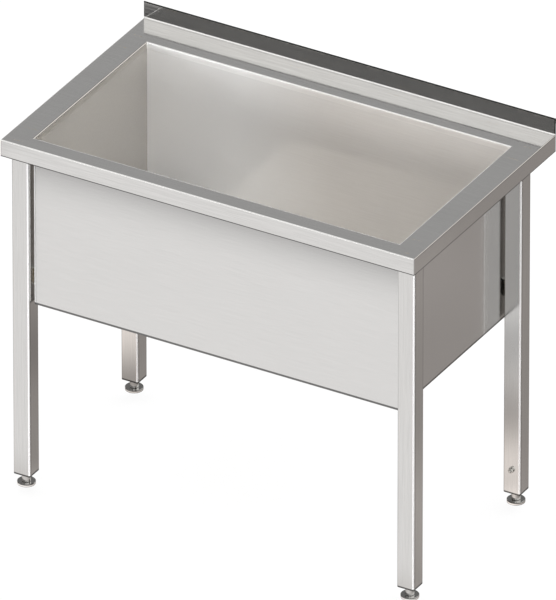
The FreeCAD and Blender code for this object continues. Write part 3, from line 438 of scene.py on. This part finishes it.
def bowl_steel(side, inner_tone_and_light, hand_sheen):
    """A side of the bowl: belt-ground under a mirror-like sheen, and ground by hand on its inside, where
    its tone carries painted light and shade.
    """
    return ground_steel(
        f"bowl_{side}_ground_304_sheet", "#DBDAD8", "#D3D2D0", 0.16, 0.26, coat=True, under_apron_shade=UNDER_APRON_SHADE,
        inside=[((BOWL_LEFT, BOWL_FRONT, None), (BOWL_RIGHT, BOWL_BACK, None), inner_tone_and_light, *hand_sheen)],
        marks=[((None, None, 0.4450), (None, None, 0.4518), SEAM_LINE, None),
               # A painted highlight down the front wall's left corner, which is also rougher.
               ((-0.4425, -0.2600, 0.4518), (-0.4400, -0.2590, 0.8112), "#FFFFFF", 0.60)])


leg_steel = ground_steel(
    "leg_ground_304_tube", "#DFDEDC", "#D3D2D0", 0.12, 0.22, along="Z",
    centres=(LEG_X, (LEG_FRONT_Y, LEG_REAR_Y)),
    # Painted shade lines beside the legs' corners, a painted highlight on each front right corner, which
    # is also rougher, and a dark line along the tube's lower end.
    marks=[((0.0192, -0.0176, None), (0.0205, -0.0135, None), "#B2B1AF", None),
           ((0.0192, 0.0165, None), (0.0205, 0.0205, None), "#AEADAB", None),
           ((-0.0205, -0.0205, None), (-0.0178, -0.0170, None), "#C4C3C1", None),
           ((0.0168, -0.0205, None), (0.0205, -0.0174, None), "#FFFFFF", 0.60),
           ((None, None, 0.0290), (None, None, 0.0318), "#6E6D6B", None)])
print("steel made")

# %% Give the nodes their steel
# Each wall's inner tone, which carries painted light and shade, and its sheen.
BOWL_SHEENS_AND_PAINTED_TONES = {"front_wall": (OTHER_TONES, OTHER_SHEEN), "back_wall": (BACK_PAINTED_LIGHT, BACK_SHEEN),
                 "left_wall": (LEFT_PAINTED_SHADE, LEFT_SHEEN), "right_wall": (OTHER_TONES, OTHER_SHEEN),
                 "floor": (BOWL_FLOOR_PAINTED_SHADE, OTHER_SHEEN)}


def dress(node, material):
    for slot in nodes[node].material_slots:
        slot.material = material


for node in ("worktop", "rear_apron"):
    dress(node, worktop_steel)
for side, (inner_tone_and_light, hand_sheen) in BOWL_SHEENS_AND_PAINTED_TONES.items():
    dress(f"bowl_{side}", bowl_steel(side, inner_tone_and_light, hand_sheen))
for place in PLACES:
    dress(f"leg_{place}", leg_steel)
    dress(f"leg_socket_{place}", leg_steel)
dress("leg_spacers", leg_steel)
print("sheets and tubes dressed")

# %% [markdown]
# ## Turned stainless steel
# The feet and the waste's ring come off a lathe. Its tool leaves rings round the axis that are finer
# than a tenth of a millimetre, here drawn ten times as wide. The rings have to be centred on each
# foot. One pattern serves all four, because the feet stand at equal distances either side of x = 0 and
# either side of one y: folding the coordinates there puts every foot on the same spot.

# %% Turned stainless steel
RING_STEP = 0.9 * MM
DRAIN_Y = -0.0245


def from_axis(tree, spot, x, y, half_y):
    """Distance from the nearest axis: x either side of zero, half_y either side of y."""
    across = add(tree, "ShaderNodeMath",
                 {0: add(tree, "ShaderNodeMath", {0: spot["X"]}, operation="ABSOLUTE"), 1: x},
                 operation="SUBTRACT").outputs[0]
    level = add(tree, "ShaderNodeMath",
                {0: add(tree, "ShaderNodeMath", {0: spot["Y"], 1: y}, operation="SUBTRACT")},
                operation="ABSOLUTE").outputs[0]
    along = add(tree, "ShaderNodeMath", {0: level, 1: half_y}, operation="SUBTRACT").outputs[0]
    flat = add(tree, "ShaderNodeCombineXYZ", {"X": across, "Y": along}).outputs[0]
    return add(tree, "ShaderNodeVectorMath", {0: flat}, operation="LENGTH").outputs["Value"]


def turned_steel(name, colour, worn, smooth, rough, axis, shade_bands=()):
    """Lathe-turned stainless: rings round an axis. Its bands are two heights and a painted shade between
    them.
    """
    made, tree, shader = new_material(name, 1.0)
    spot = add(tree, "ShaderNodeSeparateXYZ",
               {0: add(tree, "ShaderNodeTexCoord").outputs["Object"]}).outputs
    run = add(tree, "ShaderNodeMath", {0: from_axis(tree, spot, *axis), 1: spot["Z"]},
              operation="ADD").outputs[0]
    rings = add(tree, "ShaderNodeTexNoise",
                {"W": add(tree, "ShaderNodeMath", {0: run, 1: 1 / RING_STEP}, operation="MULTIPLY"),
                 "Scale": 1.0, "Detail": 3.0}, noise_dimensions="1D").outputs[0]
    skin = add(tree, "ShaderNodeMix", {0: rings, 6: tone(colour), 7: tone(worn)},
               data_type="RGBA").outputs[2]
    for low, high, shade in shade_bands:
        line = band(tree, spot["Z"], low, high, 0.2 * MM)
        skin = add(tree, "ShaderNodeMix", {0: line, 6: skin, 7: tone(shade)},
                   data_type="RGBA").outputs[2]
    sheen = add(tree, "ShaderNodeMapRange", {0: rings, 1: 0.3, 2: 0.7, 3: smooth, 4: rough}).outputs[0]
    bump = add(tree, "ShaderNodeBump", {"Strength": 0.15, "Distance": 0.05 * MM, "Height": rings})
    surface(tree, shader, skin, sheen, bump)
    return made


foot_axis = (LEG_X, (LEG_FRONT_Y + LEG_REAR_Y) / 2, (LEG_REAR_Y - LEG_FRONT_Y) / 2)
drain_axis = (0.0, DRAIN_Y, 0.0)
# The foot's base gets painted shade on its top, its chamfer and its bottom edge.
base_steel = turned_steel("foot_turned_304", "#F2F1EF", "#E2E1DF", 0.10, 0.22, foot_axis,
                          shade_bands=[(0.0055, 0.0080, "#8C8B89"), (0.0048, 0.0060, "#4C4B4A"),
                                 (0.0000, 0.0012, "#6E6D6B")])
stem_steel = turned_steel("stem_turned_304", "#D2D1CF", "#B4B3B1", 0.12, 0.24, foot_axis)
ring_steel = turned_steel("waste_polished_304", "#E4E3E1", "#D8D7D5", 0.05, 0.12, drain_axis)
for place in PLACES:
    dress(f"foot_base_{place}", base_steel)
    dress(f"foot_stem_{place}", stem_steel)
dress("waste_flange", ring_steel)
dress("strainer", ring_steel)
print("turned parts dressed")

# %% [markdown]
# ## Fasteners
# Screws, nuts and washers of A2 stainless steel are cold-headed and then barrel-polished, which leaves
# a cloudy, slightly yellow grey with dents too small to see one by one. Recesses keep a darker film, so
# ambient occlusion mixes it in where faces meet.

# %% Barrel-polished stainless
def speckled(name, colour, dark, metal, smooth, rough, size, strength):
    """A finish with no direction: cloudy tone, patchy gloss and an even, fine bump."""
    made, tree, shader = new_material(name, metal)
    spot = add(tree, "ShaderNodeTexCoord").outputs["Object"]
    cloud = add(tree, "ShaderNodeTexNoise",
                {"Vector": spot, "Scale": 1 / (8 * size), "Detail": 3.0}).outputs[0]
    dents = add(tree, "ShaderNodeTexNoise",
                {"Vector": spot, "Scale": 1 / size, "Detail": 5.0}).outputs[0]
    # Ambient occlusion darkens the tone where faces meet: on the fasteners that is the film left in
    # recesses, on the plastic, the rubber and the weld it is painted shade.
    open_air = add(tree, "ShaderNodeAmbientOcclusion", {"Distance": 3 * MM}, samples=4).outputs["AO"]
    worn = add(tree, "ShaderNodeMapRange", {0: cloud, 3: 0.75, 4: 1.0}).outputs[0]
    share = add(tree, "ShaderNodeMath", {0: open_air, 1: worn}, operation="MULTIPLY").outputs[0]
    skin = add(tree, "ShaderNodeMix", {0: share, 6: tone(dark), 7: tone(colour)},
               data_type="RGBA").outputs[2]
    sheen = add(tree, "ShaderNodeMapRange", {0: cloud, 1: 0.3, 2: 0.7, 3: smooth, 4: rough}).outputs[0]
    bump = add(tree, "ShaderNodeBump", {"Strength": strength, "Distance": 0.1 * MM, "Height": dents})
    surface(tree, shader, skin, sheen, bump)
    return made


fastener_steel = speckled("fastener_barrelled_a2", "#C9C7C3", "#6B6966", 1.0, 0.22, 0.38, 0.6 * MM, 0.2)
for place in PLACES:
    dress(f"insert_nut_{place}", fastener_steel)
for node in ("leg_screws", "strainer_screw", "bonding_rivet_nut", "bonding_washer", "bonding_nut"):
    dress(node, fastener_steel)
print("fasteners dressed")

# %% [markdown]
# ## Plastic and rubber
# The plugs in the legs are black polyamide, moulded with a fine spark-eroded grain that turns black
# into a soft dark grey at a slant. The waste's body is grey polypropylene, waxier and smoother. Pads
# and gaskets are pressed rubber: nearly black, dull, with a dusty bloom.

# %% Moulded plastic and rubber
# Ambient occlusion paints shade into the plastic and rubber where faces meet.
insert_plastic = speckled("plug_moulded_polyamide", "#232324", "#0E0E0F",
                          0.0, 0.42, 0.55, 0.35 * MM, 0.25)
waste_plastic = speckled("waste_moulded_polypropylene", "#56575A", "#2E2F31",
                         0.0, 0.28, 0.40, 0.8 * MM, 0.12)
rubber = speckled("pad_pressed_rubber", "#2A2927", "#121211", 0.0, 0.70, 0.85, 0.5 * MM, 0.4)
for place in PLACES:
    dress(f"leg_insert_{place}", insert_plastic)
    dress(f"foot_pad_{place}", rubber)
dress("waste_body", waste_plastic)
for node in ("waste_gasket_upper", "waste_gasket_lower"):
    dress(node, rubber)
print("plastic and rubber dressed")

# %% [markdown]
# ## Screw threads
# A thread is one ridge that climbs round a rod. The CAD rods are as thick as the ridge's crest, so each
# is copied, thinned to the thread's root, and given the ridge. In Geometry Nodes a spiral curve carries
# a triangle: for a 60 degree thread the triangle has three equal sides, as long as the pitch, so its
# radius is the pitch divided by the square root of three. The feet's studs, the bonding stud and the
# waste's tail are threaded, all right-handed. The node's spiral climbs left-handed unless reversed.

# %% Helpers for geometry trees
def new_tree(name, inputs):
    """A geometry tree with a mesh input, the named inputs, and their identifiers."""
    tree = bpy.data.node_groups.new(name, "GeometryNodeTree")
    face = tree.interface
    face.new_socket("Mesh", in_out="INPUT", socket_type="NodeSocketGeometry")
    keys = {title: face.new_socket(title, in_out="INPUT", socket_type=f"NodeSocket{kind}").identifier
            for title, kind in inputs.items()}
    face.new_socket("Mesh", in_out="OUTPUT", socket_type="NodeSocketGeometry")
    return tree, keys, add(tree, "NodeGroupInput").outputs


def close_tree(tree, shape, material):
    whole = add(tree, "GeometryNodeRealizeInstances", {"Geometry": shape}).outputs[0]
    coloured = add(tree, "GeometryNodeSetMaterial", {"Geometry": whole, "Material": material}).outputs[0]
    add(tree, "NodeGroupOutput", {0: coloured})


def grow(tree, keys, start, values):
    """Run a tree on a mesh and return what it makes as a plain mesh."""
    carrier = bpy.data.objects.new("carrier", start)
    scene.collection.objects.link(carrier)
    modifier = carrier.modifiers.new("grow", "NODES")
    modifier.node_group = tree
    for title, value in values.items():
        modifier[keys[title]] = value
    view = bpy.context.evaluated_depsgraph_get()
    grown = bpy.data.meshes.new_from_object(carrier.evaluated_get(view))
    bpy.data.objects.remove(carrier)
    return grown


# %% Thread ridge
ridge, ridge_keys, given = new_tree("thread_ridge", {"Crest Radius": "Float", "Pitch": "Float",
                                                     "Length": "Float", "Material": "Material"})
side = add(ridge, "ShaderNodeMath", {0: given["Pitch"], 1: math.sqrt(3)}, operation="DIVIDE").outputs[0]
path_radius = add(ridge, "ShaderNodeMath", {0: given["Crest Radius"], 1: side},
                  operation="SUBTRACT").outputs[0]
turns = add(ridge, "ShaderNodeMath", {0: given["Length"], 1: given["Pitch"]},
            operation="DIVIDE").outputs[0]
spiral = add(ridge, "GeometryNodeCurveSpiral", {
    "Resolution": 28, "Rotations": turns, "Start Radius": path_radius, "End Radius": path_radius,
    "Height": given["Length"], "Reverse": True}).outputs[0]
upright = add(ridge, "GeometryNodeSetCurveNormal", {"Curve": spiral}, mode="Z_UP").outputs[0]
triangle = add(ridge, "GeometryNodeCurvePrimitiveCircle", {"Resolution": 3, "Radius": side}).outputs[0]
swept = add(ridge, "GeometryNodeCurveToMesh", {"Curve": upright, "Profile Curve": triangle,
                                               "Fill Caps": True}).outputs[0]
close_tree(ridge, swept, given["Material"])
print("thread tree has", len(ridge.nodes), "nodes")

# %% Threaded rods
THREAD_DEPTH = 0.613           # of the pitch, from the crest to the root of a 60 degree thread
M10, M6, WASTE_THREAD = (0.005, 0.0015), (0.003, 0.001), (0.0239, 0.00231)     # crest radius and pitch
PLAIN_FOOT, PLAIN_HEAD = 0.8 * MM, 1.6 * MM      # of a foot's stud, below and above its thread
BONDING_CENTRE, BONDING_ENDS = (LEG_X, 0.176, 0.087), (-0.0125, 0.0096)        # ends along its own axis
WASTE_CENTRE, WASTE_ENDS = (0.0, DRAIN_Y, 0.0), (0.3812, 0.4268)               # ends are heights


def thread(name, node, crest, pitch, centre, foot, head, material, lies=False):
    """A copy of a plain rod, with a thread between foot and head along its axis."""
    rod = bmesh.new()
    rod.from_mesh(nodes[node].data)
    bmesh.ops.remove_doubles(rod, verts=rod.verts, dist=0.01 * MM)
    to_axis = Matrix.Translation(-Vector(centre))
    if lies:
        to_axis = Matrix.Rotation(math.radians(-90), 4, "X") @ to_axis
    rod.transform(to_axis)
    root = crest - THREAD_DEPTH * pitch
    for vertex in rod.verts:
        reach = vertex.co.xy.length
        if crest - 0.9 * MM < reach < crest + 0.05 * MM and foot - MM < vertex.co.z < head + MM:
            vertex.co.xy *= min(root, reach) / reach
    start = bpy.data.meshes.new("start")
    grown = grow(ridge, ridge_keys, start, {"Crest Radius": crest, "Pitch": pitch,
                                            "Length": head - foot, "Material": material})
    grown.transform(Matrix.Translation((0, 0, foot)))
    rod.from_mesh(grown)
    rod.transform(to_axis.inverted())
    bmesh.ops.recalc_face_normals(rod, faces=rod.faces)
    made = bpy.data.meshes.new(name)
    rod.to_mesh(made)
    rod.free()
    made.materials.append(material)
    piece = bpy.data.objects.new(name, made)
    scene.collection.objects.link(piece)
    return piece


for place in PLACES:
    low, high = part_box(f"foot_stud_{place}")
    middle = ((low[0] + high[0]) / 2, (low[1] + high[1]) / 2, 0)
    piece = thread(f"thread_foot_{place}", f"foot_stud_{place}", *M10, middle,
                   low[2] + PLAIN_FOOT, high[2] - PLAIN_HEAD, fastener_steel)
    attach(piece, f"foot_screw_{place}")
    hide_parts(f"foot_stud_{place}")
print("M10 x 1.5 on the feet,", len(piece.data.polygons), "faces each")

bond = thread("thread_bonding", "bonding_stud", *M6, BONDING_CENTRE, *BONDING_ENDS,
              fastener_steel, lies=True)
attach(bond, "root")
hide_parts("bonding_stud")

tail = thread("thread_waste", "waste_body", *WASTE_THREAD, WASTE_CENTRE, *WASTE_ENDS, waste_plastic)
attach(tail, "root")
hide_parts("waste_body")
print("M6 on the bonding stud, 1 1/2 inch on the waste,", len(tail.data.polygons), "faces")

# %% [markdown]
# ## Weld beads
# The spacers are tacked between the legs and the bowl, and the leg sockets and the rear channel to the
# worktop's underside. A bead of TIG weld is a row of small overlapping pools, one for each dab of the
# filler rod. Geometry Nodes follow short lines and set a ball every 1.4 mm, partly sunk in the steel and
# each a little different in size. The heat leaves the steel straw yellow to brown.

# %% Weld bead
bead, bead_keys, given = new_tree("weld_bead", {"Width": "Float", "Step": "Float", "Seed": "Int",
                                                "Material": "Material"})
path = add(bead, "GeometryNodeMeshToCurve", {"Mesh": given["Mesh"]}).outputs[0]
dabs = add(bead, "GeometryNodeResampleCurve", {"Curve": path, "Length": given["Step"]},
           mode="LENGTH").outputs[0]
pool = add(bead, "GeometryNodeMeshUVSphere", {"Segments": 10, "Rings": 6, "Radius": 0.5}).outputs["Mesh"]
uneven = add(bead, "FunctionNodeRandomValue", {2: 0.85, 3: 1.1, 8: given["Seed"]},
             data_type="FLOAT").outputs[1]
across = add(bead, "ShaderNodeMath", {0: given["Width"], 1: uneven}, operation="MULTIPLY").outputs[0]
row = add(bead, "GeometryNodeInstanceOnPoints",
          {"Points": dabs, "Instance": pool, "Scale": across}).outputs[0]
close_tree(bead, row, given["Material"])
print("weld tree has", len(bead.nodes), "nodes")

# %% Stitches of weld
weld_steel = speckled("weld_straw_tinted_308", "#B9A98C", "#5E554A", 1.0, 0.20, 0.36, 0.5 * MM, 0.15)
UNDERSIDE = 0.8485                               # height of the worktop's underside, metres
SPACER_X, SPACER_LOW, SPACER_HIGH = 0.4445, 0.494, 0.527
SPACER_SIDES = (-0.2524, -0.2416, 0.1996, 0.2104)
SOCKET_INNER, SOCKET_OUTER = 0.452, 0.482
SOCKET_SIDES = (-0.2845, -0.2275, 0.1675, 0.2245)
CHANNEL_Y, CHANNEL_HALF, CHANNEL_PLACES = 0.2768, 0.012, (-0.36, -0.12, 0.12, 0.36)
BEAD_WIDTH, BEAD_STEP, BEAD_SEED = 3.2 * MM, 1.4 * MM, 7

stitches = []
for side in (-1, 1):
    for y in SPACER_SIDES:
        stitches.append(((side * SPACER_X, y, SPACER_LOW), (side * SPACER_X, y, SPACER_HIGH)))
    for y in SOCKET_SIDES:
        stitches.append(((side * SOCKET_INNER, y, UNDERSIDE), (side * SOCKET_OUTER, y, UNDERSIDE)))
for x in CHANNEL_PLACES:
    stitches.append(((x - CHANNEL_HALF, CHANNEL_Y, UNDERSIDE), (x + CHANNEL_HALF, CHANNEL_Y, UNDERSIDE)))

lines = bpy.data.meshes.new("stitches")
ends = [end for stitch in stitches for end in stitch]
lines.from_pydata(ends, [(2 * i, 2 * i + 1) for i in range(len(stitches))], [])
beads = grow(bead, bead_keys, lines, {"Width": BEAD_WIDTH, "Step": BEAD_STEP, "Seed": BEAD_SEED,
                                      "Material": weld_steel})
beads.name = "weld_beads"
for polygon in beads.polygons:
    polygon.use_smooth = True
welds = bpy.data.objects.new("weld_beads", beads)
scene.collection.objects.link(welds)
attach(welds, "root")
print(len(stitches), "stitches,", len(beads.polygons), "faces")
